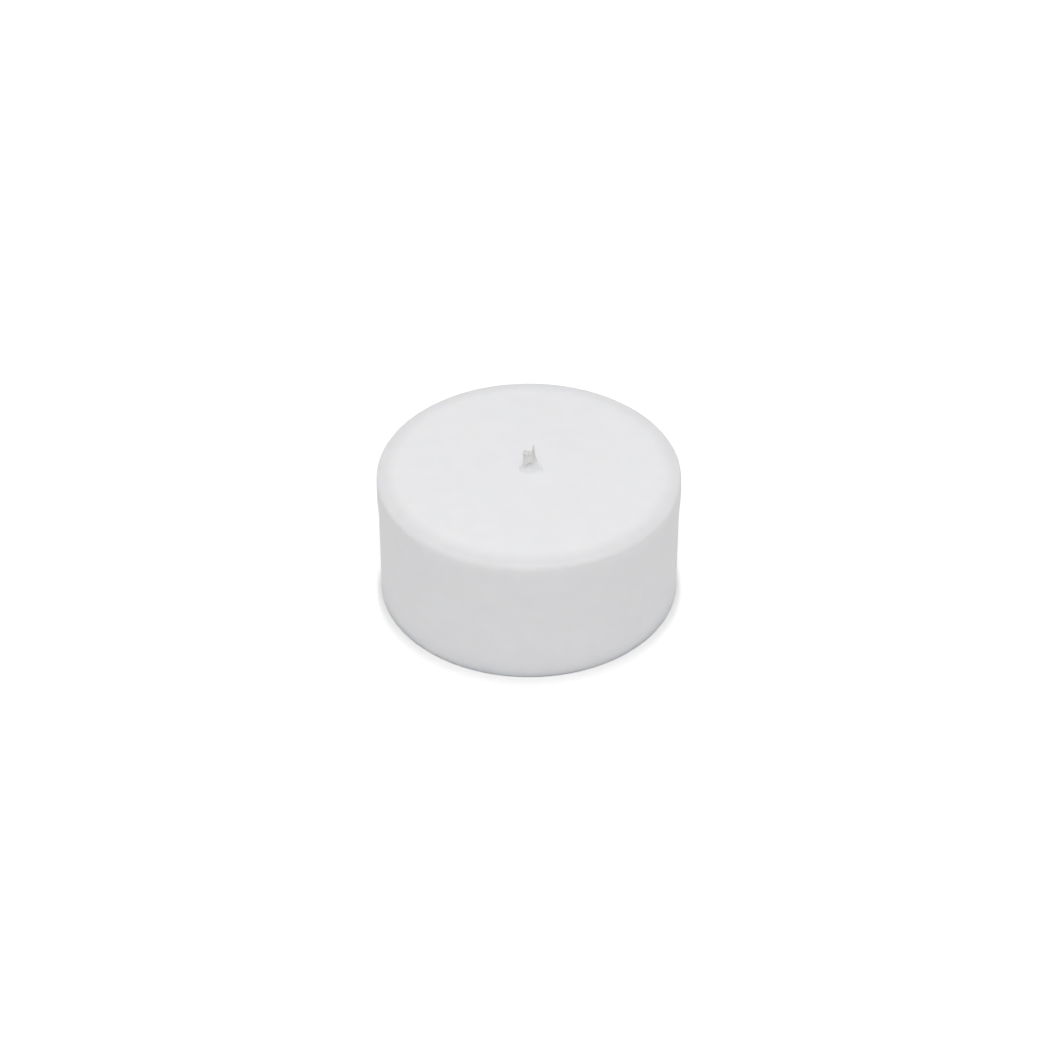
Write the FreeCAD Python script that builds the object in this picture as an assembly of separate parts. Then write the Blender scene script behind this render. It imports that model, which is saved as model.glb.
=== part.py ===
import FreeCAD, Part
import functools
import math
import os

# Candle refill: a round puck of white wax, cast round a plaited cotton wick that a
# stamped tin-plate sustainer holds upright at the foot. Millimetres, +Z up, and the
# origin is the centre of the flat foot that the refill stands on.

# Wax puck
wax_height = 28.2  # foot to the flat of the crown
wall_diameter = 59.5  # straight side wall
shoulder_swell = 0.25  # how far the shoulder stands out beyond the wall, each side
swell_height = 7.5  # from the top of the straight wall to the widest place
shoulder_drop = 3.8  # from the crown down to the widest place
crown_width = 5.5  # from the widest place in to where the crown starts to fall
crown_radius = 22.0  # curve of the falling edge of the crown
rim_radius = 1.1  # rounding between the crown and the shoulder
foot_bevel = 0.3  # edge at the foot

# Wax drawn up round the wick
collar_height = 3.4  # crown to the lip
collar_reach = 2.0  # lip out to where the wax is flat again
collar_lip = 0.2  # thickness of wax at the lip
collar_fullness = 0.55  # 0.55 makes the hollow of the collar a quarter of an ellipse

# Wick, three yarns in a flat plait
yarn_diameter = 0.6
yarn_gap = 0.02  # between yarns where they cross
plait_sideways = 1.3  # side run of a yarn to the axis, in yarn spacings
plait_across = 1.05  # corner of a yarn's path in front of the axis, in yarn spacings
plait_pitch = 9.7  # rise in which a yarn comes back to its place, in yarn spacings
yarn_tail = 0.6  # straight end of a yarn, above and below the plait
wick_stub = 4.2  # wick that stands above the crown
wick_gap = 0.05  # between the plait and the wax or metal round it
slot_corner = 0.4  # radius of the corners of the passage in the wax
stray_length = 1.8  # one stray end that stands above the plait
stray_foot_diameter = 0.36
stray_tip_diameter = 0.16

# Sustainer, one stamping
sheet = 0.25  # tin-plate thickness
sustainer_diameter = 15.0
sustainer_recess = 0.2  # its underside lies this far above the foot
neck_height = 4.0  # underside to the top of the neck
neck_ease = 0.1  # bore of the neck beyond the width of the passage, all round
neck_bend = 0.5  # how far from the neck the plate starts to turn up into it
bead_diameter = 10.0  # ring pressed into the plate to stiffen it
bead_width = 1.8
bead_flank = 0.5  # sloping side of the ring
bead_rise = 0.35
crimp_radius = 1.0  # nose of the jaws that close the neck on the wick

# Sizes that follow from those above
wall_radius = wall_diameter / 2
shoulder_radius = wall_radius + shoulder_swell
widest_height = wax_height - shoulder_drop
crown_start_radius = shoulder_radius - crown_width
lip_height = wax_height + collar_height
wick_top = wax_height + wick_stub
yarn_spacing = yarn_diameter + yarn_gap
side_run = plait_sideways * yarn_spacing
corner_across = plait_across * yarn_spacing
plait_bottom = sustainer_recess + yarn_tail
plait_top = wick_top - yarn_tail
wick_width = 2 * side_run + yarn_diameter
slot_width = wick_width + 2 * wick_gap
neck_bore_radius = slot_width / 2 + neck_ease
neck_outer_radius = neck_bore_radius + sheet
neck_top = sustainer_recess + neck_height
plate_top = sustainer_recess + sheet
plate_edge = sustainer_diameter / 2

YARNS = 3
QUARTERS = 4  # runs of a yarn in one pitch
TOP_PROGRESS = 0.75  # runs between a corner of the first yarn and the top of the plait
LAST_SHARE = 0.6  # share of a run that a yarn still takes before its straight tail
CORNER_SHARE = 0.26  # share of a side run that the bend at its end takes up
TAIL_SHARE = 1 / 3  # of a yarn's diameter, for the bend between the plait and the tail
YARN_SIDES = 8
CUT_MARGIN = 1.0  # how far a cutting tool runs past what it cuts
UP = FreeCAD.Vector(0, 0, 1)
MAKE_SOLID, KEEP_UPRIGHT, MITRED = True, True, 1  # how a yarn's section follows its path


def at(radius, height):
    """A point of a turned outline: distance from the axis, and height."""
    return FreeCAD.Vector(radius, 0, height)


def line(start, end):
    return Part.LineSegment(start, end).toShape()


def arc(start, middle, end):
    return Part.Arc(start, middle, end).toShape()


def arc_about(centre, start, end):
    """The shorter arc from start to end round a centre."""
    towards = ((start + end) * 0.5 - centre).normalize()
    return arc(start, centre + towards * (start - centre).Length, end)


def bend(start, corner, end):
    """A smooth turn that leaves start and reaches end along the lines through the corner."""
    curve = Part.BezierCurve()
    curve.setPoles([start, corner, end])
    return curve.toShape()


def turned(edges):
    """The solid that a closed outline sweeps round the axis."""
    return Part.Face(Part.Wire(edges)).revolve(FreeCAD.Vector(), UP, 360)


def rim_centre_between(crown_centre, belly_centre, belly_radius):
    """Centre of the rim's circle, which touches the crown's and the shoulder's circles from inside."""
    to_crown = crown_radius - rim_radius
    to_belly = belly_radius - rim_radius
    between = belly_centre - crown_centre
    gap = between.Length
    along = (to_crown**2 - to_belly**2 + gap**2) / (2 * gap)
    aside = math.sqrt(to_crown**2 - along**2)
    between.normalize()
    outward = FreeCAD.Vector(-between.z, 0, between.x)
    foot = crown_centre + between * along
    return max(foot + outward * aside, foot - outward * aside, key=lambda point: point.x)


def wall_edges():
    """The foot, the straight wall, and the gentle swell that takes it up to the widest place."""
    swell_angle = 2 * math.atan(shoulder_swell / swell_height)
    swell_radius = swell_height / (2 * math.sin(swell_angle))
    foot_inner = at(wall_radius - foot_bevel, 0)
    foot_outer = at(wall_radius, foot_bevel)
    wall_top = at(wall_radius, widest_height - swell_height)
    hollow_centre = wall_top + at(swell_radius, 0)
    belly_centre = at(shoulder_radius - swell_radius, widest_height)
    turning_point = (hollow_centre + belly_centre) * 0.5
    edges = [
        line(at(0, 0), foot_inner),
        line(foot_inner, foot_outer),
        line(foot_outer, wall_top),
        arc_about(hollow_centre, wall_top, turning_point),
    ]
    return edges, turning_point, belly_centre, swell_radius


def crown_edges(turning_point, belly_centre, belly_radius):
    """The shoulder, the rim, and the crown's falling edge, in to where the crown is flat."""
    crown_start = at(crown_start_radius, wax_height)
    crown_centre = crown_start - at(0, crown_radius)
    rim_centre = rim_centre_between(crown_centre, belly_centre, belly_radius)
    belly_end = rim_centre + (rim_centre - belly_centre).normalize() * rim_radius
    rim_end = rim_centre + (rim_centre - crown_centre).normalize() * rim_radius
    return [
        arc_about(belly_centre, turning_point, belly_end),
        arc_about(rim_centre, belly_end, rim_end),
        arc_about(crown_centre, rim_end, crown_start),
    ], crown_start


def collar_edges(crown_start):
    """The flat crown in to the wick, and the wax that climbs it to the lip and closes on the axis."""
    lip = at(slot_width / 2 + collar_lip, lip_height)
    spread = at(lip.x + collar_reach, wax_height)
    hollow = Part.BezierCurve()
    hollow.setPoles(
        [
            spread,
            spread - at(collar_fullness * collar_reach, 0),
            lip - at(0, collar_fullness * collar_height),
            lip,
        ]
    )
    return [
        line(crown_start, spread),
        hollow.toShape(),
        line(lip, at(0, lip_height)),
        line(at(0, lip_height), at(0, 0)),
    ]


def bent_path(corners, cut_backs):
    """Straight runs from corner to corner, with each inner corner cut off by a short run."""
    places = [corners[0]]
    for before, corner, after, cut_back in zip(corners, corners[1:], corners[2:], cut_backs):
        back = (before - corner).normalize()
        on = (after - corner).normalize()
        places += [corner + back * cut_back, corner + on * cut_back]
    return Part.makePolygon(places + [corners[-1]])


def plait_rise():
    """Rise of one run. A whole number of thirds of a pitch fits, so the yarns lie alike at both ends."""
    length = plait_top - plait_bottom
    third = plait_pitch * yarn_spacing / YARNS
    return length / round(length / third) * YARNS / QUARTERS


def plait_place(progress, height):
    """Where a yarn is after so many runs. It goes back to front up one side, crosses, and does it again."""
    number = math.floor(progress)
    corners = [
        FreeCAD.Vector(
            side_run if n % QUARTERS in (0, 1) else -side_run,
            corner_across if n % 2 == 0 else -corner_across,
            height,
        )
        for n in (number, number + 1)
    ]
    return corners[0] + (corners[1] - corners[0]) * (progress - number)


def yarn_path(behind):
    """Centreline of a yarn, a share of the pitch behind the first, with a straight tail at each end."""
    rise = plait_rise()
    top = TOP_PROGRESS - QUARTERS * behind
    bottom = top - (plait_top - plait_bottom) / rise
    first = math.ceil(bottom + LAST_SHARE)
    last = math.floor(top - LAST_SHARE)
    stops = [first - LAST_SHARE, *range(first, last + 1), last + LAST_SHARE]
    places = [plait_place(stop, plait_top + (stop - top) * rise) for stop in stops]
    foot = FreeCAD.Vector(places[0].x, places[0].y, sustainer_recess)
    tip = FreeCAD.Vector(places[-1].x, places[-1].y, wick_top)
    corner_cut = CORNER_SHARE * math.hypot(2 * corner_across, rise)
    tail_cut = TAIL_SHARE * yarn_diameter
    cut_backs = [tail_cut] + [corner_cut] * (len(places) - 2) + [tail_cut]
    return bent_path([foot] + places + [tip], cut_backs)


def yarn(behind):
    path = yarn_path(behind)
    foot = path.OrderedVertexes[0].Point
    corners = [
        foot + FreeCAD.Vector(math.cos(angle), math.sin(angle), 0) * (yarn_diameter / 2)
        for angle in (2 * math.pi * side / YARN_SIDES for side in range(YARN_SIDES))
    ]
    section = Part.makePolygon(corners + corners[:1])
    return path.makePipeShell([section], MAKE_SOLID, KEEP_UPRIGHT, MITRED)


def stray_end():
    """The loose end that stands on the yarn at the right."""
    foot = yarn_path(0).OrderedVertexes[-1].Point
    return Part.makeCone(stray_foot_diameter / 2, stray_tip_diameter / 2, stray_length, foot)


@functools.cache
def wick():
    yarns = [yarn(number / YARNS) for number in range(YARNS)]
    yarns[0] = yarns[0].fuse(stray_end())
    return Part.makeCompound(yarns)


def wick_thickness():
    box = wick().BoundBox
    return 2 * max(box.YMax, -box.YMin)


def wick_slot():
    """The passage with rounded corners that the wick fills, from below the foot to above the lip."""
    depth = wick_thickness() + 2 * wick_gap
    corner = FreeCAD.Vector(-slot_width / 2, -depth / 2, -CUT_MARGIN)
    passage = Part.makeBox(slot_width, depth, lip_height + 2 * CUT_MARGIN, corner)
    uprights = [edge for edge in passage.Edges if edge.BoundBox.ZLength > lip_height]
    return passage.makeFillet(slot_corner, uprights)


def plate_side(level, neck_radius):
    """One side of the sustainer in section: neck, bend, and plate with its bead, out to the edge."""
    neck_foot = at(neck_radius, plate_top + neck_bend)
    plate_start = at(neck_outer_radius + neck_bend, level)
    inner = (bead_diameter - bead_width) / 2
    outer = (bead_diameter + bead_width) / 2
    crest = level + bead_rise
    places = [
        plate_start,
        at(inner, level),
        at(inner + bead_flank, crest),
        at(outer - bead_flank, crest),
        at(outer, level),
        at(plate_edge, level),
    ]
    return [
        line(at(neck_radius, neck_top), neck_foot),
        bend(neck_foot, at(neck_radius, level), plate_start),
        *Part.makePolygon(places).Edges,
    ]


def upper_side():
    return plate_side(plate_top, neck_outer_radius)


def lower_side():
    return plate_side(sustainer_recess, neck_bore_radius)


def crimp_jaw(side, radius):
    """The nose of one jaw of the crimping tool, a bar across the neck in front of or behind it."""
    across = side * (wick_thickness() / 2 + wick_gap + sheet + crimp_radius)
    height = (plate_top + neck_bend + neck_top) / 2
    start = FreeCAD.Vector(-plate_edge, across, height)
    return Part.makeCylinder(radius, sustainer_diameter, start, FreeCAD.Vector(1, 0, 0))


def wick_sustainer():
    """Plate, bead and neck as one turned stamping, with the neck pressed in on the flats of the wick."""
    rim = line(at(plate_edge, sustainer_recess), at(plate_edge, plate_top))
    mouth = line(at(neck_bore_radius, neck_top), at(neck_outer_radius, neck_top))
    stamping = turned(Part.sortEdges(lower_side() + upper_side() + [rim, mouth])[0])
    bore = Part.makeCylinder(neck_bore_radius, neck_height, at(0, sustainer_recess))
    for side in (-1, 1):
        pressed_in = crimp_jaw(side, crimp_radius + sheet).common(bore)
        stamping = stamping.fuse(pressed_in).cut(crimp_jaw(side, crimp_radius))
    return stamping.removeSplitter()


def sustainer_pocket():
    """The room that the sustainer takes in the wax, with the open recess below its plate."""
    return turned(
        upper_side()
        + [
            line(at(plate_edge, plate_top), at(plate_edge, -CUT_MARGIN)),
            line(at(plate_edge, -CUT_MARGIN), at(0, -CUT_MARGIN)),
            line(at(0, -CUT_MARGIN), at(0, neck_top)),
            line(at(0, neck_top), at(neck_outer_radius, neck_top)),
        ]
    )


def wax_body():
    wall, turning_point, belly_centre, belly_radius = wall_edges()
    crown, crown_start = crown_edges(turning_point, belly_centre, belly_radius)
    puck = turned(wall + crown + collar_edges(crown_start))
    return puck.cut(sustainer_pocket()).cut(wick_slot())


def main():
    os.makedirs("parts", exist_ok=True)
    wax_body().exportStep("parts/wax_body.step")
    wick().exportStep("parts/wick.step")
    wick_sustainer().exportStep("parts/wick_sustainer.step")


main()
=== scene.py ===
import math
import random

import bmesh
import bpy
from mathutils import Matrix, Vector, noise


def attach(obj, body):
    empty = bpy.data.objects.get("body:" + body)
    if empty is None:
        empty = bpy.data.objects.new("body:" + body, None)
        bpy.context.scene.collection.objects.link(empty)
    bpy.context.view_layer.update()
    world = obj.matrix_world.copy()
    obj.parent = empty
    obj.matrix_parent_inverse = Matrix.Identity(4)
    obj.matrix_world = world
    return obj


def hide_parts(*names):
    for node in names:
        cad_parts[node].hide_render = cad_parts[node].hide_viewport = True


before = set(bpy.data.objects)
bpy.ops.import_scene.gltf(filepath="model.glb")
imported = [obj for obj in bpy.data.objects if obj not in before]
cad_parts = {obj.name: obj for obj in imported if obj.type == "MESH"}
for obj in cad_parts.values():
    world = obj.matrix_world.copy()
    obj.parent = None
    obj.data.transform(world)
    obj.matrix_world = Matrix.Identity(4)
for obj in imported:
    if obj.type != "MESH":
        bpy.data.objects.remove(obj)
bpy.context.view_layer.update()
print("stage 1: the packed refill is loaded")

mm = 0.001  # lengths below are in millimetres, unless a note says metres
creaseAngle = 48  # degrees, edges sharper than this are shaded sharp

# Wax puck, cast in one piece round the wick
waxPuck = {
    # Outline that the puck is turned from
    "outline": {
        "height": 28.2,  # foot to the flat of the crown
        "wallDiameter": 59.5,
        "shoulderSwell": 0.25,  # how far the shoulder stands out beyond the wall
        "swellHeight": 7.5,  # from the top of the straight wall to the widest place
        "shoulderDrop": 3.8,  # from the crown down to the widest place
        "crownWidth": 5.5,  # from the widest place in to where the crown starts to fall
        "crownRadius": 22.0,  # curve of the falling edge of the crown
        "rimRadius": 1.1,
        "footRadius": 0.12,
        "around": 320,  # points round the puck
        "soleSteps": 10,  # steps of the outline across the foot
        "footSteps": 5,  # round its edge
        "wallSteps": 22,
        "hollowSteps": 8,  # on the hollow curve out to the shoulder
        "roundSteps": 14,  # on the shoulder, on the rim and on the edge of the crown
        "flatSteps": 16,  # across the flat of the crown
    },
    # Unevenness of the cast wax, where a wave is given by its length and a seed
    "waves": {
        "wallDepth": 0.03,  # how far the wall sinks in here and there
        "wallLong": (9.0, 1.7),
        "wallShort": (3.1, 8.2),
        "wallLevel": 0.7,  # value of the waves above which the wall isn't sunk
        "wallFrom": 24.0,  # distance from the axis at which this starts
        "wallFade": 4.0,  # and over which it grows
        "footFade": 1.5,  # height over which it grows, so that the foot is round
        "upright": 0.6,  # below 1 the long waves are taller than they are wide
        "crownDepth": 0.02,
        "crownLong": (11.0, 3.9),
        "crownShort": (2.6, 6.1),
        "crownBelow": 3.0,  # how far below the crown its waves still count
        "shortShare": 0.35,  # strength of the short waves to that of the long ones
    },
    # Wax drawn up round the wick, further on the right than on the left
    "collar": {
        "halfWidth": 0.96,  # outline at the lip, along the flats of the wick
        "halfDepth": 0.38,  # and across them, so the lip ends inside the wick
        "squareness": 2.6,  # 2 is an ellipse, higher is squarer
        "climb": 2.35,  # how high the wax climbs the wick
        "climbLean": 0.25,  # and how much more of it on the right, less on the left
        "reach": 1.12,  # how far out it spreads
        "reachLean": 0.12,
        "hollow": 1.35,  # higher makes the slope more hollow
        "wobble": 0.16,  # share by which climb and reach change round the wick
        "wobbleRadius": 2.2,  # of the circle on which the wave is read
        "wobbleWave": (1.4, 5.3),
        "runHeight": 4.0,  # run of wax that was drawn up the right side of the wick
        "runReach": 1.75,
        "runHollow": 1.25,
        "runHalf": 0.60,  # half its thickness
        "runSides": 6,  # higher makes its sides steeper
        "runFrom": 0.45,  # where it starts, to the right of the axis
        "runGrow": 0.5,
        "meld": 4,  # higher makes the corner between run and collar sharper
        "blend": 5.0,  # radius by which the outline is round
        "roundFrom": 3.2,  # distance from the lip over which it gets round
        "crowding": 1.7,  # above 1 the rings lie closer near the lip
        "rings": 44,
        "inside": ((0.8, 0.25), (0.3, 0.5)),  # in the wick, share of the lip's radius and drop
        "wellFloor": 0.6,  # height of the wax on the axis, inside the wick
        "sinkDepth": 0.07,  # shallow ring where the crown sank as it cooled
        "sinkRadius": 3.4,
        "sinkWidth": 1.7,
        "sinkFrom": 0.9,  # none nearer to the axis than this
    },
    # Open recess in the foot, with a thin uneven film of wax over the edge of the sustainer
    "foot": {
        "fillHeight": 0.42,  # wax inside the mouth of the neck
        # Its uneven face, as distances from the axis and heights over fillHeight
        "fill": ((0.6, 0.0), (1.1, -0.02), (1.45, 0.0), (1.56, 0.08), (1.75, -0.03)),
        "plateMiddle": 0.325,  # height of the middle of the sustainer's sheet
        "plateUnder": 0.2,
        "plateEdge": 7.5,
        "flatFrom": (2.05, 3.0),  # points on the flat of the sheet inside the bead
        "flatTo": 6.1,  # and outside it
        "beadIn": 4.1,
        "beadOut": 5.9,
        "beadFlank": 0.5,
        "beadRise": 0.35,
        "filmReach": 0.75,  # furthest that the film creeps in over the plate
        "filmLeast": 0.04,  # least share of that
        "filmMiddle": 0.5,  # usual share
        "filmSwing": 0.9,  # and how far it changes round the plate
        "filmRadius": 3.0,
        "filmWave": (1.1, 2.4),
        "filmThickness": 0.07,
        "filmEdge": ((0.04, 0.6), (0.14, 1.0)),  # out from its edge, share of the thickness
        "filmInside": (0.05, 0.01),  # under the sheet's middle and over its underside
        "filmSteps": 4,
        "mouth": ((0.12, 0.09), (0.22, 0.03), (0.4, 0.0)),  # out from the plate's edge, height
    },
}


def arcPoints(centre, start, end, count):
    # The shorter arc from start to end round a centre, without its first point
    first = math.atan2(start[1] - centre[1], start[0] - centre[0])
    last = math.atan2(end[1] - centre[1], end[0] - centre[0])
    turn = (last - first + math.pi) % (2 * math.pi) - math.pi
    radius = math.dist(centre, start)
    angles = [first + turn * i / count for i in range(1, count + 1)]
    return [(centre[0] + radius * math.cos(a), centre[1] + radius * math.sin(a)) for a in angles]


def linePoints(start, end, count):
    # A straight line from start to end, without its first point
    (x, z), dx, dz = start, end[0] - start[0], end[1] - start[1]
    return [(x + dx * i / count, z + dz * i / count) for i in range(1, count + 1)]


def touchingCentre(crownCentre, crownReach, bellyCentre, bellyReach):
    # Where the rim's circle sits so that it touches the crown's and the shoulder's from inside
    dx, dz = bellyCentre[0] - crownCentre[0], bellyCentre[1] - crownCentre[1]
    gap = math.hypot(dx, dz)
    along = (crownReach**2 - bellyReach**2 + gap**2) / (2 * gap)
    aside = math.sqrt(crownReach**2 - along**2)
    ux, uz = dx / gap, dz / gap
    foot = (crownCentre[0] + ux * along, crownCentre[1] + uz * along)
    return max((foot[0] - uz * side, foot[1] + ux * side) for side in (aside, -aside))


def onwards(centre, point, radius):
    # From a circle's centre past a point on the inside, and on by radius
    length = math.dist(centre, point)
    return tuple(p + (p - c) / length * radius for c, p in zip(centre, point))


def puckOutline():
    # From the edge of the foot, up the wall and over the rim to the flat of the crown
    p = waxPuck["outline"]
    wall = p["wallDiameter"] / 2
    shoulder = wall + p["shoulderSwell"]
    widest = p["height"] - p["shoulderDrop"]
    swellAngle = 2 * math.atan(p["shoulderSwell"] / p["swellHeight"])
    swellRadius = p["swellHeight"] / (2 * math.sin(swellAngle))
    footInner, footOuter = (wall - p["footRadius"], 0.0), (wall, p["footRadius"])
    wallTop = (wall, widest - p["swellHeight"])
    hollowCentre = (wall + swellRadius, wallTop[1])
    bellyCentre = (shoulder - swellRadius, widest)
    turning = tuple((a + b) / 2 for a, b in zip(hollowCentre, bellyCentre))
    crownStart = (shoulder - p["crownWidth"], p["height"])
    crownCentre = (crownStart[0], p["height"] - p["crownRadius"])
    rim = p["rimRadius"]
    rimCentre = touchingCentre(crownCentre, p["crownRadius"] - rim, bellyCentre, swellRadius - rim)
    bellyEnd = onwards(bellyCentre, rimCentre, rim)
    rimEnd = onwards(crownCentre, rimCentre, rim)
    points = [footInner]
    points += arcPoints((footInner[0], footOuter[1]), footInner, footOuter, p["footSteps"])
    points += linePoints(footOuter, wallTop, p["wallSteps"])
    points += arcPoints(hollowCentre, wallTop, turning, p["hollowSteps"])
    points += arcPoints(bellyCentre, turning, bellyEnd, p["roundSteps"])
    points += arcPoints(rimCentre, bellyEnd, rimEnd, p["roundSteps"])
    points += arcPoints(crownCentre, rimEnd, crownStart, p["roundSteps"])
    return points


def recessOutline(film):
    # From near the axis out to the foot, where film is how far the wax covers the plate here
    r = waxPuck["foot"]
    middle, under, edge = r["plateMiddle"], r["plateUnder"], r["plateEdge"]
    crest = middle + r["beadRise"]
    inner = edge - film
    points = [(radius, r["fillHeight"] + lift) for radius, lift in r["fill"]]
    points += [(radius, middle) for radius in (*r["flatFrom"], r["beadIn"])]
    points += [(r["beadIn"] + r["beadFlank"], crest), (r["beadOut"] - r["beadFlank"], crest)]
    points += [(r["beadOut"], middle), (r["flatTo"], middle)]
    points += [(inner, middle - r["filmInside"][0]), (inner, under + r["filmInside"][1])]
    points += [(inner + out, under - share * r["filmThickness"]) for out, share in r["filmEdge"]]
    mouth = [(edge + out, height) for out, height in r["mouth"]]
    return points + linePoints(points[-1], mouth[0], r["filmSteps"]) + mouth[1:]


def smoothStep(value):
    value = min(max(value, 0.0), 1.0)
    return value * value * (3 - 2 * value)


def wave(x, y, z, shape):
    length, seed = shape
    return noise.noise(Vector((x / length + seed, y / length, z / length)))


def waveRound(angle, radius, shape):
    return wave(radius * math.cos(angle), radius * math.sin(angle), 0, shape)


def lipRadius(angle):
    c = waxPuck["collar"]
    power = c["squareness"]
    along = abs(math.cos(angle) / c["halfWidth"]) ** power
    across = abs(math.sin(angle) / c["halfDepth"]) ** power
    return (along + across) ** (-1 / power)


def collarPoint(angle, share):
    # share runs from 0 at the round edge of the collar's ground to 1 at the lip
    c = waxPuck["collar"]
    outFrom = (1 - share) ** c["crowding"] * (c["blend"] - c["halfWidth"])
    blend = smoothStep(outFrom / c["roundFrom"])
    radius = outFrom + lipRadius(angle) * (1 - blend) + c["halfWidth"] * blend
    wobble = 1 + c["wobble"] * waveRound(angle, c["wobbleRadius"], c["wobbleWave"])
    lean = math.cos(angle)
    climb = (c["climb"] + c["climbLean"] * lean) * wobble
    reach = (c["reach"] + c["reachLean"] * lean) * (2 - wobble)
    rise = climb * max(0.0, 1 - outFrom / reach) ** c["hollow"]
    x, y = radius * lean, radius * math.sin(angle)
    slope = min(max(1 - (x - c["halfWidth"]) / c["runReach"], 0.0), 1.0)
    run = c["runHeight"] * slope ** c["runHollow"]
    run *= smoothStep((x - c["runFrom"]) / c["runGrow"])
    run /= 1 + abs(y / c["runHalf"]) ** c["runSides"]
    meld = c["meld"]
    return radius, waxPuck["outline"]["height"] + (rise**meld + run**meld) ** (1 / meld)


def uneven(radius, height, angle):
    # A place on the puck after the wax has cooled a little uneven
    v, c = waxPuck["waves"], waxPuck["collar"]
    x, y = radius * math.cos(angle), radius * math.sin(angle)
    onWall = smoothStep((radius - v["wallFrom"]) / v["wallFade"])
    onWall *= smoothStep(height / v["footFade"])
    swing = wave(x, y, height * v["upright"], v["wallLong"])
    swing += v["shortShare"] * wave(x, y, height, v["wallShort"])
    radius -= onWall * v["wallDepth"] * max(0.0, v["wallLevel"] - swing)
    if height > waxPuck["outline"]["height"] - v["crownBelow"]:
        swing = wave(x, y, 0, v["crownLong"]) + v["shortShare"] * wave(x, y, 0, v["crownShort"])
        height += v["crownDepth"] * swing
        if radius > c["sinkFrom"]:
            aside = (radius - c["sinkRadius"]) / c["sinkWidth"]
            height -= c["sinkDepth"] * math.exp(-(aside**2))
    return radius, height


def meshFrom(name, points, faces):
    mesh = bpy.data.meshes.new(name)
    mesh.from_pydata([Vector(point) * mm for point in points], [], faces)
    mesh.validate()
    tool = bmesh.new()
    tool.from_mesh(mesh)
    bmesh.ops.recalc_face_normals(tool, faces=tool.faces)
    for face in tool.faces:
        face.smooth = True
    for edge in tool.edges:
        if len(edge.link_faces) == 2 and edge.calc_face_angle() > math.radians(creaseAngle):
            edge.smooth = False
    tool.to_mesh(mesh)
    tool.free()
    piece = bpy.data.objects.new(name, mesh)
    bpy.context.scene.collection.objects.link(piece)
    return piece


def waxColumn(angle, outer, flat):
    # Radius and height of each point at this angle, from under the foot to inside the wick
    p, c, r = waxPuck["outline"], waxPuck["collar"], waxPuck["foot"]
    creep = r["filmMiddle"] + r["filmSwing"] * waveRound(angle, r["filmRadius"], r["filmWave"])
    column = recessOutline(r["filmReach"] * min(max(creep, r["filmLeast"]), 1.0))
    column += linePoints(column[-1], outer[0], p["soleSteps"])[:-1]
    column += outer + flat
    column += [collarPoint(angle, i / c["rings"]) for i in range(1, c["rings"] + 1)]
    lip, lipHeight = column[-1]
    column += [(lip * share, lipHeight - drop) for share, drop in c["inside"]]
    return [uneven(radius, height, angle) for radius, height in column]


def makeWax():
    p, c = waxPuck["outline"], waxPuck["collar"]
    around = p["around"]
    outer = puckOutline()
    flat = linePoints(outer[-1], (c["blend"], p["height"]), p["flatSteps"])
    angles = [2 * math.pi * j / around for j in range(around)]
    columns = [waxColumn(angle, outer, flat) for angle in angles]
    rows = len(columns[0])
    points = [(0.0, 0.0, waxPuck["foot"]["fillHeight"])]
    for i in range(rows):
        for angle, column in zip(angles, columns):
            radius, height = column[i]
            points.append((radius * math.cos(angle), radius * math.sin(angle), height))
    points.append((0.0, 0.0, p["height"] + c["wellFloor"]))
    last = len(points) - 1
    faces = []
    for j in range(around):
        k = (j + 1) % around
        faces.append((0, 1 + k, 1 + j))
        for i in range(rows - 1):
            a, b = 1 + i * around, 1 + (i + 1) * around
            faces.append((a + j, a + k, b + k, b + j))
        faces.append((1 + (rows - 1) * around + j, 1 + (rows - 1) * around + k, last))
    return meshFrom("waxPuck", points, faces)


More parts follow.
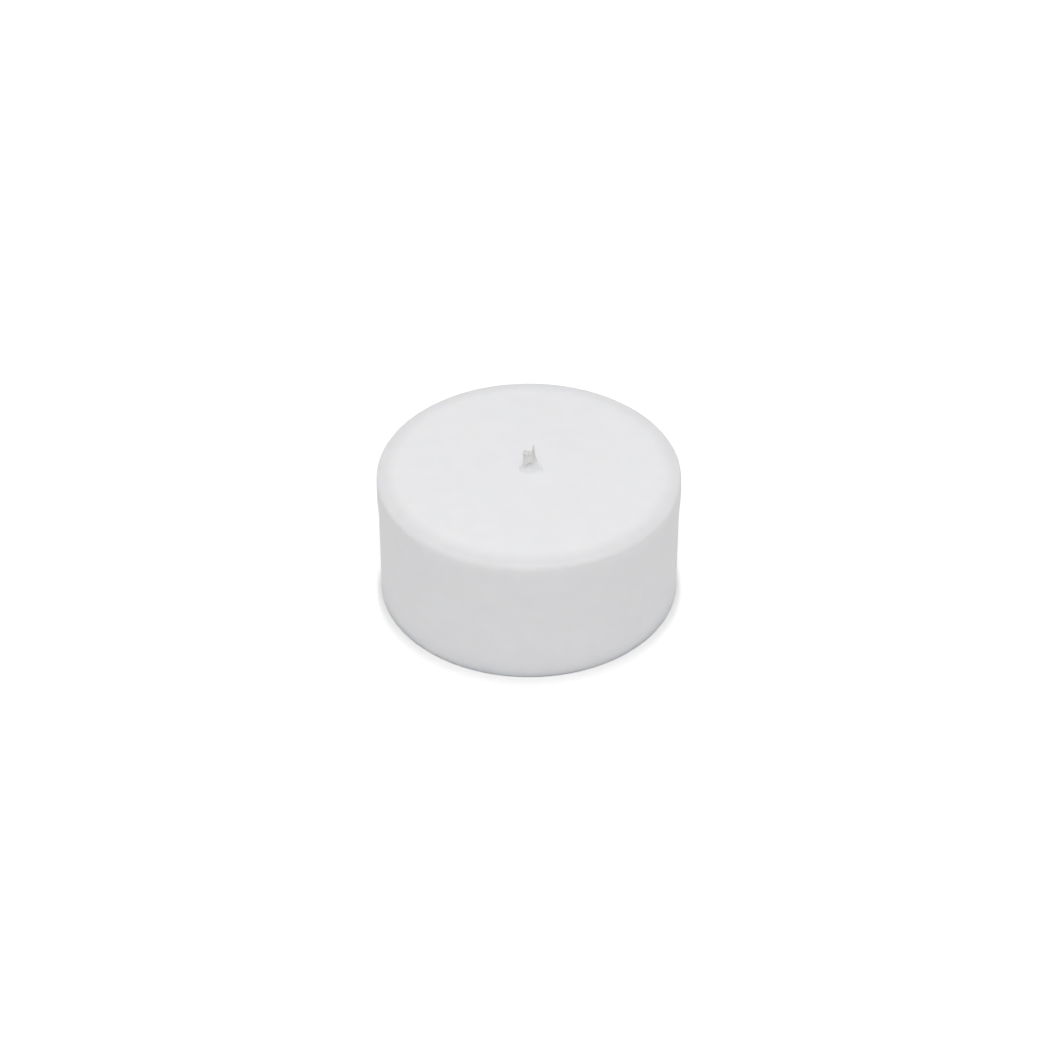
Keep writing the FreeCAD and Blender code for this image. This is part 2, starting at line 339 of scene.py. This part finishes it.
# Wick of three yarns in a flat plait, soaked in wax
waxedWick = {
    # Paths of the yarns, and the wax between them
    "plait": {
        "bottom": 0.2,
        "top": 32.4,
        "yarns": 3,
        "side": 0.80,  # side run of a yarn to the axis
        "across": 0.62,  # corner of a yarn's path in front of the axis
        "rise": 1.55,  # rise of one run, a quarter of the pitch
        "topProgress": 0.75,  # runs between a corner of the first yarn and the top
        "shownFrom": 27.4,  # finer above this height
        "shownRadius": 0.33,  # of a yarn
        "shownStep": 0.06,
        "shownSides": 24,
        "hiddenRadius": 0.31,  # below that height
        "hiddenStep": 0.22,
        "hiddenSides": 18,
        "overlap": 0.4,  # how far the plain yarns run up into the skin
        "coreAt": (-0.60, -0.20, 0.20, 0.60),  # wax that fills the plait
        "coreRadius": 0.57,
        "coreStep": 0.3,
        "coreBelow": 0.06,  # how far under the top it ends
    },
    # The skin of wax over the plait that shows, with the strands of each yarn in it
    "skin": {
        "voxel": 0.042,  # size of the grid that it is made on
        "smoothing": 4,  # rounds of smoothing
        "smoothShare": 0.5,
        "strands": 7,  # twisted strands that make up a yarn
        "strandDepth": 0.034,
        "strandLevel": 0.6,  # share of a strand's ridge that lies at the skin's own place
        "twist": 2.6,  # turns of the strands for each 10 mm
        "steepest": 0.8,  # faces that point further up or down get no strands
        "roughness": ((3.1, 0.018), (9.0, 0.008)),  # waves for each mm, depth
    },
    # The loose end that stands above the plait
    "looseEnd": {
        "foot": (0.72, 0.02),
        "tip": (0.86, -0.05),
        "top": 34.15,
        "sink": 0.7,  # how far down in the plait it starts
        "bow": 0.10,  # bend to the right at half its length
        "footRadius": 0.30,
        "tipRadius": 0.12,
        "taper": 0.8,  # below 1 it stays thick for longer
        "steps": 40,
        "sides": 18,
        "strandsFrom": 0.05,  # height above the plait
        "strands": 2.5,
        "strandDepth": 0.02,
        "middle": 0.8,  # its axis, to the right of the wick's
        "twist": 1.1,
    },
    # Short fibres on the trimmed end
    "fibres": {
        "count": 70,
        "radius": 0.026,
        "thinning": 0.6,  # share of the radius that is gone at the tip
        "shortest": 0.1,
        "reach": 0.24,  # most that a fibre is longer than that
        "spread": 0.24,  # how far from a yarn's middle it starts
        "sink": 0.08,  # and how far below the top
        "lean": 0.3,
        "curl": 0.3,
        "steps": 5,
        "sides": 6,
        "seed": 11,
    },
}


def yarnCorner(number):
    w = waxedWick["plait"]
    side = w["side"] if number % 4 in (0, 1) else -w["side"]
    return Vector((side, w["across"] if number % 2 == 0 else -w["across"], 0))


def yarnPoint(number, height):
    # A quadratic spline over the corners of a yarn's path
    w = waxedWick["plait"]
    progress = w["topProgress"] - 4 * number / w["yarns"] + (height - w["top"]) / w["rise"]
    nearest = math.floor(progress + 0.5)
    t = progress + 0.5 - nearest
    a, b, c = (yarnCorner(nearest + i) for i in (-1, 0, 1))
    place = a * (0.5 * (1 - t) ** 2) + b * (0.5 + t * (1 - t)) + c * (0.5 * t * t)
    return Vector((place.x, place.y, height))


def tube(path, radiusAt, sides, points, faces):
    # Adds a tube with closed ends to points and faces
    start = len(points)
    for i, place in enumerate(path):
        ahead = path[min(i + 1, len(path) - 1)] - path[max(i - 1, 0)]
        ahead.normalize()
        right = Vector((0, 1, 0)).cross(ahead).normalized()
        front = ahead.cross(right)
        radius = radiusAt(i / (len(path) - 1))
        for j in range(sides):
            angle = 2 * math.pi * j / sides
            points.append(place + (right * math.cos(angle) + front * math.sin(angle)) * radius)
    rings = len(path)
    for i in range(rings - 1):
        for j in range(sides):
            a, b = start + i * sides, start + (i + 1) * sides
            k = (j + 1) % sides
            faces.append((a + j, a + k, b + k, b + j))
    faces.append(tuple(start + j for j in reversed(range(sides))))
    faces.append(tuple(start + (rings - 1) * sides + j for j in range(sides)))


def heights(start, end, step):
    count = max(2, round((end - start) / step))
    return [start + (end - start) * i / count for i in range(count + 1)]


def addYarns(part, start, end, points, faces):
    # part is shown or hidden
    w = waxedWick["plait"]
    for number in range(w["yarns"]):
        path = [yarnPoint(number, z) for z in heights(start, end, w[part + "Step"])]
        tube(path, lambda share: w[part + "Radius"], w[part + "Sides"], points, faces)


def addCore(points, faces):
    w = waxedWick["plait"]
    for x in w["coreAt"]:
        levels = heights(w["shownFrom"], w["top"] - w["coreBelow"], w["coreStep"])
        path = [Vector((x, 0, z)) for z in levels]
        tube(path, lambda share: w["coreRadius"], w["shownSides"], points, faces)


def addLooseEnd(points, faces):
    e = waxedWick["looseEnd"]
    low = Vector((*e["foot"], waxedWick["plait"]["top"] - e["sink"]))
    high = Vector((*e["tip"], e["top"]))
    path = []
    for i in range(e["steps"] + 1):
        share = i / e["steps"]
        place = low.lerp(high, share)
        place.x += e["bow"] * math.sin(math.pi * share)
        path.append(place)

    def radiusAt(share):
        return e["footRadius"] * (1 - share) ** e["taper"] + e["tipRadius"] * share

    tube(path, radiusAt, e["sides"], points, faces)


def addFibres(points, faces):
    w, f = waxedWick["plait"], waxedWick["fibres"]
    draws = random.Random(f["seed"])
    spread, lean, curl, steps = f["spread"], f["lean"], f["curl"], f["steps"]
    for _ in range(f["count"]):
        spot = yarnPoint(draws.randrange(w["yarns"]), w["top"])
        aside = (draws.uniform(-spread, spread), draws.uniform(-spread, spread))
        spot += Vector((*aside, -f["sink"]))
        along = Vector((draws.gauss(0, lean), draws.gauss(0, lean), 1)).normalized()
        length = f["shortest"] + f["reach"] * draws.random() ** 2
        bend = Vector((draws.gauss(0, curl), draws.gauss(0, curl), 0))
        shares = [s / steps for s in range(steps + 1)]
        path = [spot + along * (length * s) + bend * (length * s**2) for s in shares]
        tube(path, lambda s: f["radius"] * (1 - f["thinning"] * s), f["sides"], points, faces)


def melted(points, faces):
    # One skin round closed tubes, as points, normals and faces
    s = waxedWick["skin"]
    mesh = bpy.data.meshes.new("plait")
    mesh.from_pydata(points, [], faces)
    lump = bpy.data.objects.new("plait", mesh)
    bpy.context.scene.collection.objects.link(lump)
    skin = lump.modifiers.new("skin", "REMESH")
    skin.mode = "VOXEL"
    skin.voxel_size = s["voxel"]
    flow = lump.modifiers.new("flow", "SMOOTH")
    flow.factor = s["smoothShare"]
    flow.iterations = s["smoothing"]
    depsgraph = bpy.context.evaluated_depsgraph_get()
    result = bpy.data.meshes.new_from_object(lump.evaluated_get(depsgraph))
    points = [vertex.co.copy() for vertex in result.vertices]
    normals = [vertex.normal.copy() for vertex in result.vertices]
    faces = [tuple(face.vertices) for face in result.polygons]
    bpy.data.objects.remove(lump)
    for spent in (mesh, result):
        bpy.data.meshes.remove(spent)
    return points, normals, faces


def strandRidge(point):
    # From 0 in a groove to 1 on the ridge of a strand, on the yarn that passes nearest
    w, s = waxedWick["plait"], waxedWick["skin"]
    outs = [point - yarnPoint(number, point.z) for number in range(w["yarns"])]
    number = min(range(w["yarns"]), key=lambda i: outs[i].length)
    angle = math.atan2(outs[number].y, outs[number].x)
    turns = point.z * s["twist"] / 10 + number / w["yarns"]
    return abs(math.cos(s["strands"] * (angle / 2 + math.pi * turns)))


def looseRidge(point):
    e = waxedWick["looseEnd"]
    turned = math.atan2(point.y, point.x - e["middle"]) + point.z * e["twist"]
    return abs(math.cos(e["strands"] * turned))


def reliefPoint(point, normal):
    # Where a point of the skin lies once strands and roughness are on it
    s, e = waxedWick["skin"], waxedWick["looseEnd"]
    if point.z > waxedWick["plait"]["top"] + e["strandsFrom"]:
        point = point + normal * ((looseRidge(point) - s["strandLevel"]) * e["strandDepth"])
    elif abs(normal.z) < s["steepest"]:
        point = point + normal * ((strandRidge(point) - s["strandLevel"]) * s["strandDepth"])
    rough = sum(noise.noise(point * waves) * depth for waves, depth in s["roughness"])
    return point + normal * rough


def makeWick():
    w = waxedWick["plait"]
    points, faces = [], []
    addYarns("shown", w["shownFrom"], w["top"], points, faces)
    addCore(points, faces)
    addLooseEnd(points, faces)
    points, normals, faces = melted(points, faces)
    points = [reliefPoint(point, normal) for point, normal in zip(points, normals)]
    addYarns("hidden", w["bottom"], w["shownFrom"] + w["overlap"], points, faces)
    for point in points:
        point.z = max(point.z, w["bottom"])
    addFibres(points, faces)
    return meshFrom("waxedWick", points, faces)


print("stage 2: pouring the wax")
wax = makeWax()
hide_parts("wax_body")
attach(wax, "root")

print("stage 3: plaiting the wick")
wick = makeWick()
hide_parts("wick")
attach(wick, "root")

# Finishes. A texture is given by its scale for each metre, detail, roughness and how much finer
# it is along x, y and z. A relief is a texture and its depth in mm.
waxFinish = {
    "textures": {
        "clouds": (230.0, 4.0, 0.55, None),
        "frost": (1500.0, 3.0, 0.6, None),
        "grain": (5200.0, 2.0, 0.5, None),
        "drag": (90.0, 3.0, 0.5, (1.0, 1.0, 5.0)),
    },
    "colours": ((0.84, 0.84, 0.855), (0.825, 0.825, 0.84)),  # clear and cloudy
    "colourBy": ("clouds", 0.35, 0.68),  # texture, and its values for the first and the second
    "paintedShadeColour": (0.735, 0.735, 0.75),  # painted shade: a darker colour round the rim, where the crown turns away from the light
    "rimShadeAcross": (25.5, 29.65),  # where the rim's painted shade starts and is full, from the axis
    "rimShadeUp": (26.3, 27.7),  # and above the foot
    # the painted shade on the rim comes in patches that follow the clouds of the wax
    "rimShadePatches": (0.8, 1.0),
    "roughness": (0.48, 0.60),
    "roughBy": "frost",
    "relief": (("drag", 0.03), ("clouds", 0.012), ("frost", 0.006), ("grain", 0.003)),
    "sockets": {
        "Specular IOR Level": 0.25,
        "IOR": 1.44,
        "Subsurface Weight": 1.0,
        "Subsurface Radius": (2.1, 1.9, 1.7),  # how far light travels in the wax
        "Subsurface Scale": mm,
    },
}
wickFinish = {
    "textures": {
        "strands": (2600.0, 3.0, 0.55, (1.0, 1.0, 0.35)),
        "fluff": (9000.0, 2.0, 0.6, None),
        "soak": (700.0, 3.0, 0.5, None),
    },
    "colours": ((0.88, 0.88, 0.87), (0.82, 0.815, 0.80)),  # ridges and grooves
    "colourBy": ("strands", 0.35, 0.7),
    "paintedShadeColour": (0.76, 0.755, 0.74),  # painted shade: a darker colour on the trimmed end, so that its top doesn't look lit from above
    "endShadeUp": (31.3, 32.3),  # height where the painted shade starts and is full
    "roughness": (0.42, 0.62),
    "roughBy": "soak",
    "relief": (("strands", 0.030), ("fluff", 0.010)),
    "sockets": {
        "Subsurface Weight": 0.4,
        "Subsurface Radius": (0.28, 0.25, 0.22),
        "Subsurface Scale": mm,
    },
}
tinFinish = {
    "textures": {
        "rolling": (900.0, 4.0, 0.6, (0.08, 3.0, 1.0)),
        "stain": (260.0, 4.0, 0.6, None),
    },
    "colours": ((0.62, 0.62, 0.61), (0.50, 0.50, 0.49)),  # bright and dull
    "colourBy": ("stain", 0.4, 0.75),
    "roughness": (0.22, 0.42),
    "roughBy": "rolling",
    "relief": (("rolling", 0.006), ("stain", 0.02)),
    "sockets": {"Metallic": 1.0},
}
noiseRange = (0.3, 0.7)  # where nearly all values of a noise texture lie


class Nodes:
    # The node tree of a material or a world, started empty
    def __init__(self, owner):
        owner.use_nodes = True
        self.tree = owner.node_tree
        self.tree.nodes.clear()

    def add(self, kind, sockets=None, **settings):
        node = self.tree.nodes.new("ShaderNode" + kind)
        for key, value in settings.items():
            setattr(node, key, value)
        for key, value in (sockets or {}).items():
            node.inputs[key].default_value = value
        return node

    def join(self, source, output, target, socket):
        self.tree.links.new(source.outputs[output], target.inputs[socket])

    def spread(self, source, output, fromRange, toRange, **settings):
        # Maps a value from one range to another
        limits = zip(("From Min", "From Max", "To Min", "To Max"), (*fromRange, *toRange))
        node = self.add("MapRange", dict(limits), **settings)
        self.join(source, output, node, "Value")
        return node

    def times(self, first, second):
        node = self.add("Math", operation="MULTIPLY")
        self.join(first, 0, node, 0)
        self.join(second, 0, node, 1)
        return node


class Finish(Nodes):
    # The nodes of a piece's material, in the piece's own coordinates
    def __init__(self, name):
        self.material = bpy.data.materials.new(name)
        super().__init__(self.material)
        self.shader = self.add("BsdfPrincipled")
        self.join(self.shader, "BSDF", self.add("OutputMaterial"), "Surface")
        self.place = self.add("TexCoord")

    def noise(self, scale, detail, rough, stretch):
        values = {"Scale": scale, "Detail": detail, "Roughness": rough}
        texture = self.add("TexNoise", values)
        source, output = self.place, "Object"
        if stretch:
            source, output = self.add("Mapping", {"Scale": stretch}), "Vector"
            self.join(self.place, "Object", source, "Vector")
        self.join(source, output, texture, "Vector")
        return texture

    def mixColour(self, share, first, second):
        # first and second are colours or colour outputs
        node = self.add("Mix", data_type="RGBA")
        self.join(share, 0, node, 0)
        ends = [socket for socket in node.inputs if socket.type == "RGBA"]
        for socket, colour in zip(ends, (first, second)):
            if isinstance(colour, tuple):
                socket.default_value = (*colour, 1)
            else:
                self.tree.links.new(colour, socket)
        return next(socket for socket in node.outputs if socket.type == "RGBA")

    def within(self, source, output, limits):
        # 0 before the first limit and 1 after the second, where the source is in metres
        limits = [limit * mm for limit in limits]
        return self.spread(source, output, limits, (0.0, 1.0), interpolation_type="SMOOTHSTEP")

    def upward(self, limits):
        split = self.add("SeparateXYZ")
        self.join(self.place, "Object", split, "Vector")
        return self.within(split, "Z", limits)

    def outward(self, limits):
        level = self.add("Mapping", {"Scale": (1.0, 1.0, 0.0)})
        reach = self.add("VectorMath", operation="LENGTH")
        self.join(self.place, "Object", level, "Vector")
        self.join(level, "Vector", reach, "Vector")
        return self.within(reach, "Value", limits)

    def bump(self, textures, relief):
        last = None
        for name, depth in relief:
            node = self.add("Bump", {"Strength": 1.0, "Distance": depth * mm})
            self.join(textures[name], "Fac", node, "Height")
            if last:
                self.join(last, "Normal", node, "Normal")
            last = node
        self.join(last, "Normal", self.shader, "Normal")


def makeFinish(name, v, paintedShadeShare=None):
    # A share node, if given, says how much of the darker colour of painted shade lies on top
    f = Finish(name)
    textures = {key: f.noise(*setting) for key, setting in v["textures"].items()}
    colourBy, low, high = v["colourBy"]
    share = f.spread(textures[colourBy], "Fac", (low, high), (0.0, 1.0))
    colour = f.mixColour(share, *v["colours"])
    if paintedShadeShare:
        # Painted shade: a darker colour laid over the material where the share node says
        colour = f.mixColour(paintedShadeShare(f, textures), colour, v["paintedShadeColour"])
    f.tree.links.new(colour, f.shader.inputs["Base Color"])
    rough = f.spread(textures[v["roughBy"]], "Fac", noiseRange, v["roughness"])
    f.join(rough, "Result", f.shader, "Roughness")
    f.bump(textures, v["relief"])
    for key, value in v["sockets"].items():
        f.shader.inputs[key].default_value = value
    return f.material


# Painted shade round the rim of the crown, in patches
def rimShadeShare(f, textures):
    v = waxFinish
    rim = f.times(f.outward(v["rimShadeAcross"]), f.upward(v["rimShadeUp"]))
    return f.times(rim, f.spread(textures["clouds"], "Fac", noiseRange, v["rimShadePatches"]))


# Painted shade on the trimmed end of the wick
def endShadeShare(f, textures):
    return f.upward(wickFinish["endShadeUp"])


def paint(piece, material):
    piece.data.materials.clear()
    piece.data.materials.append(material)


print("stage 4: finishes")
paint(wax, makeFinish("whiteWax", waxFinish, rimShadeShare))
paint(wick, makeFinish("waxedCotton", wickFinish, endShadeShare))
paint(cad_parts["wick_sustainer"], makeFinish("stampedTin", tinFinish))

# Floor, light and camera, in metres
studio = {
    "floorSize": 4.0,
    "floorColour": (0.90, 0.90, 0.90),
    "floorGlow": (0.22, 0.90),  # seen by the camera only, at the foot and on the open floor; weaker at the foot, which paints the floor round the puck darker as shade
    "glowReach": (0.031, 0.22),  # distances from the axis for these
    "wallLight": 0.62,  # the white walls of the room, low down
    "ceilingLight": 0.33,
    "wallTop": (0.35, 0.65),  # where the walls fade into the ceiling, 1 is overhead
}
lamps = {  # power in watts
    "stripLamp": {"place": (0.0, 0.125, 1.5), "size": (0.05, 0.25), "power": 6.6},
    "softLamp": {"place": (0.0, -0.22, 0.5), "size": (0.40, 0.40), "power": 0.94},
}
camera = {
    "elevation": 38.6,  # degrees above the floor
    "distance": 0.600,
    "aim": (0.0, 0.0, 0.014),
    "pixelsAtAim": 5022.0,  # of the photograph, for each metre at the aim
    "photoSize": 1060,  # pixels
    "aimPixel": (528.94, 525.5),
    "sensor": 36.0,  # mm
    "nearest": 0.01,
}


def makeFloor():
    half = studio["floorSize"] / 2
    corners = [(-half, -half, 0), (half, -half, 0), (half, half, 0), (-half, half, 0)]
    mesh = bpy.data.meshes.new("floor")
    mesh.from_pydata(corners, [], [(0, 1, 2, 3)])
    floor = bpy.data.objects.new("floor", mesh)
    bpy.context.scene.collection.objects.link(floor)
    material = bpy.data.materials.new("paleFloor")
    n = Nodes(material)
    matt = n.add("BsdfDiffuse", {"Color": (*studio["floorColour"], 1)})
    reach = n.add("VectorMath", operation="LENGTH")
    n.join(n.add("TexCoord"), "Object", reach, 0)
    # Less glow near the foot: painted shade on the floor round the puck, deepening its shadow
    # there
    grow = n.spread(reach, "Value", studio["glowReach"], studio["floorGlow"])
    glow, dark = n.add("Emission"), n.add("Emission", {"Strength": 0.0})
    n.join(grow, "Result", glow, "Strength")
    choose, both = n.add("MixShader"), n.add("AddShader")
    n.join(n.add("LightPath"), "Is Camera Ray", choose, 0)
    n.join(dark, 0, choose, 1)
    n.join(glow, 0, choose, 2)
    n.join(matt, 0, both, 0)
    n.join(choose, 0, both, 1)
    n.join(both, 0, n.add("OutputMaterial"), "Surface")
    mesh.materials.append(material)


def makeRoom():
    # White to the camera, and a pale room with a dimmer ceiling to everything else
    world = bpy.data.worlds.new("room")
    n = Nodes(world)
    white = {"Color": (1, 1, 1, 1)}
    seen, room = n.add("Background", white), n.add("Background", white)
    split = n.add("SeparateXYZ")
    n.join(n.add("TexCoord"), "Generated", split, 0)
    light = (studio["wallLight"], studio["ceilingLight"])
    n.join(n.spread(split, "Z", studio["wallTop"], light), "Result", room, "Strength")
    choose = n.add("MixShader")
    n.join(n.add("LightPath"), "Is Camera Ray", choose, 0)
    n.join(room, 0, choose, 1)
    n.join(seen, 0, choose, 2)
    n.join(choose, 0, n.add("OutputWorld"), "Surface")
    bpy.context.scene.world = world


def makeLamps():
    for name, setting in lamps.items():
        lamp = bpy.data.lights.new(name, "AREA")
        lamp.shape = "RECTANGLE"
        lamp.size, lamp.size_y = setting["size"]
        lamp.energy = setting["power"]
        holder = bpy.data.objects.new(name, lamp)
        holder.location = setting["place"]
        holder.visible_camera = False
        bpy.context.scene.collection.objects.link(holder)


def makeCamera():
    c = camera
    eye = bpy.data.cameras.new("eye")
    eye.sensor_width = c["sensor"]
    eye.lens = c["pixelsAtAim"] * c["distance"] / c["photoSize"] * c["sensor"]
    half = c["photoSize"] / 2
    eye.shift_x = (half - c["aimPixel"][0]) / c["photoSize"]
    eye.shift_y = (c["aimPixel"][1] - half) / c["photoSize"]
    eye.clip_start = c["nearest"]
    angle = math.radians(c["elevation"])
    back = Vector((0, -math.cos(angle), math.sin(angle)))
    holder = bpy.data.objects.new("eye", eye)
    holder.location = Vector(c["aim"]) + back * c["distance"]
    holder.rotation_euler = (-back).to_track_quat("-Z", "Y").to_euler()
    bpy.context.scene.collection.objects.link(holder)
    bpy.context.scene.camera = holder


print("stage 5: floor, light and camera")
makeFloor()
makeRoom()
makeLamps()
makeCamera()
bpy.context.scene.view_settings.view_transform = "Standard"
